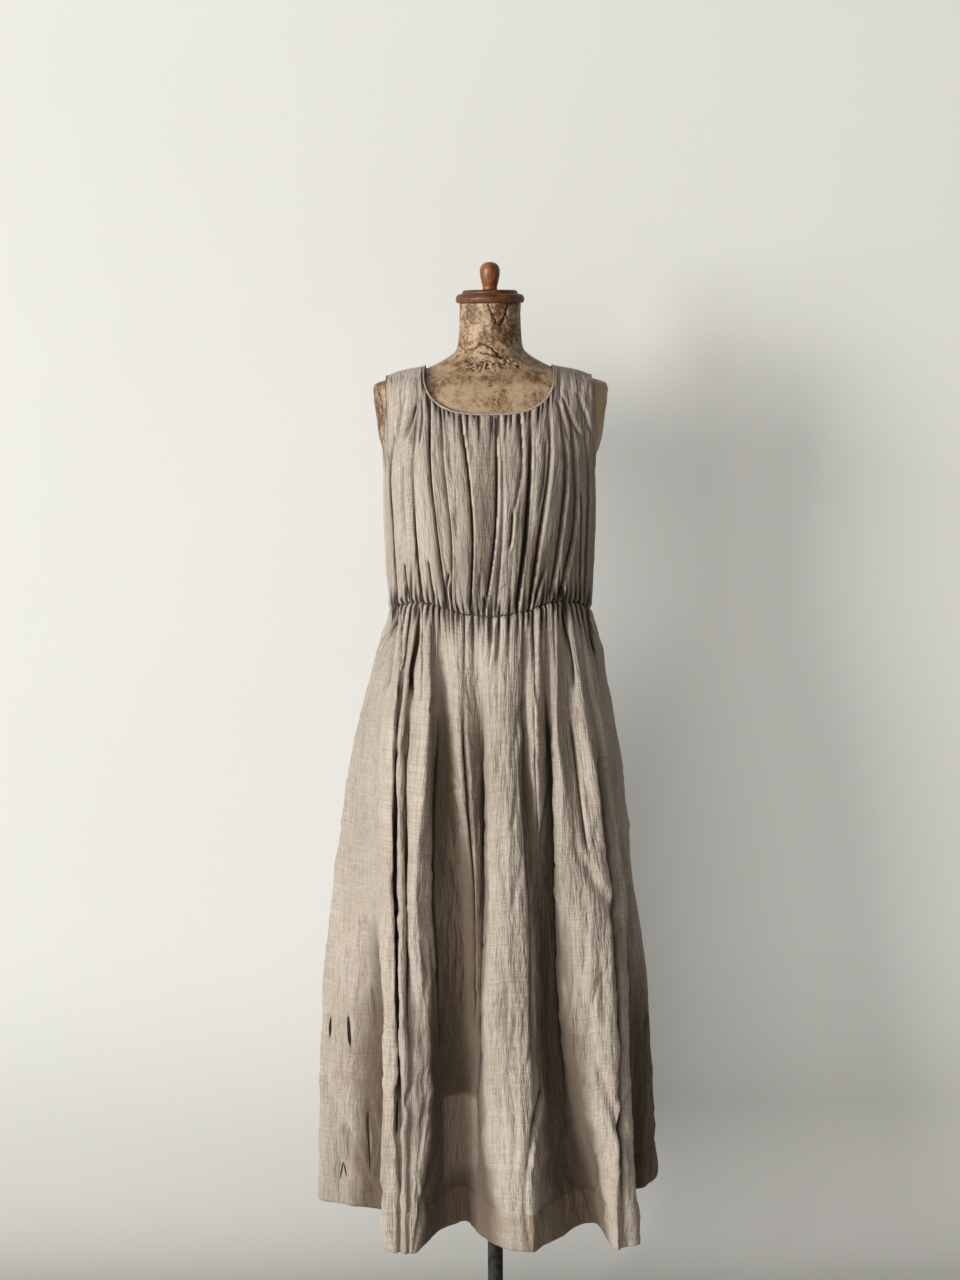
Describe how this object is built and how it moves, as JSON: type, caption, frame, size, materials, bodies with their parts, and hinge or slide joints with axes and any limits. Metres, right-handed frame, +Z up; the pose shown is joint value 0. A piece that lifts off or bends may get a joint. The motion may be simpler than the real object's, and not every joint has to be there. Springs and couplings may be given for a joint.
{
  "type": "sleeveless gathered dress on a limbless dress form",
  "caption": "Sleeveless dress with gathered neckline and waist, full folded skirt and inside pockets, on a limbless dress form with turned cap, pole and round base.",
  "frame": {"origin": "centre of the base's underside, on the floor and on the pole's axis", "axes": "+Z up along the pole, -Y towards the front of the dress, +X towards the wearer's left"},
  "size_m": [0.5408, 0.506, 1.7454],
  "materials": {
    "linen": "matt crinkled plain weave",
    "papier_mache": "aged varnished papier-mache with stains and fine cracks",
    "cap_wood": "satin stained wood",
    "knob_wood": "glossy varnished wood",
    "dark_iron": "dull dark oxidised metal"
  },
  "bodies": {
    "root": {"bodice_front": "linen", "bodice_back": "linen", "neck_binding": "linen", "skirt_front": "linen", "skirt_back": "linen", "pocket_left": "linen", "pocket_right": "linen", "form_torso": "papier_mache", "form_cap": "cap_wood", "form_knob": "knob_wood", "stand_pole": "dark_iron", "stand_base": "dark_iron"}
  },
  "joints": []
}
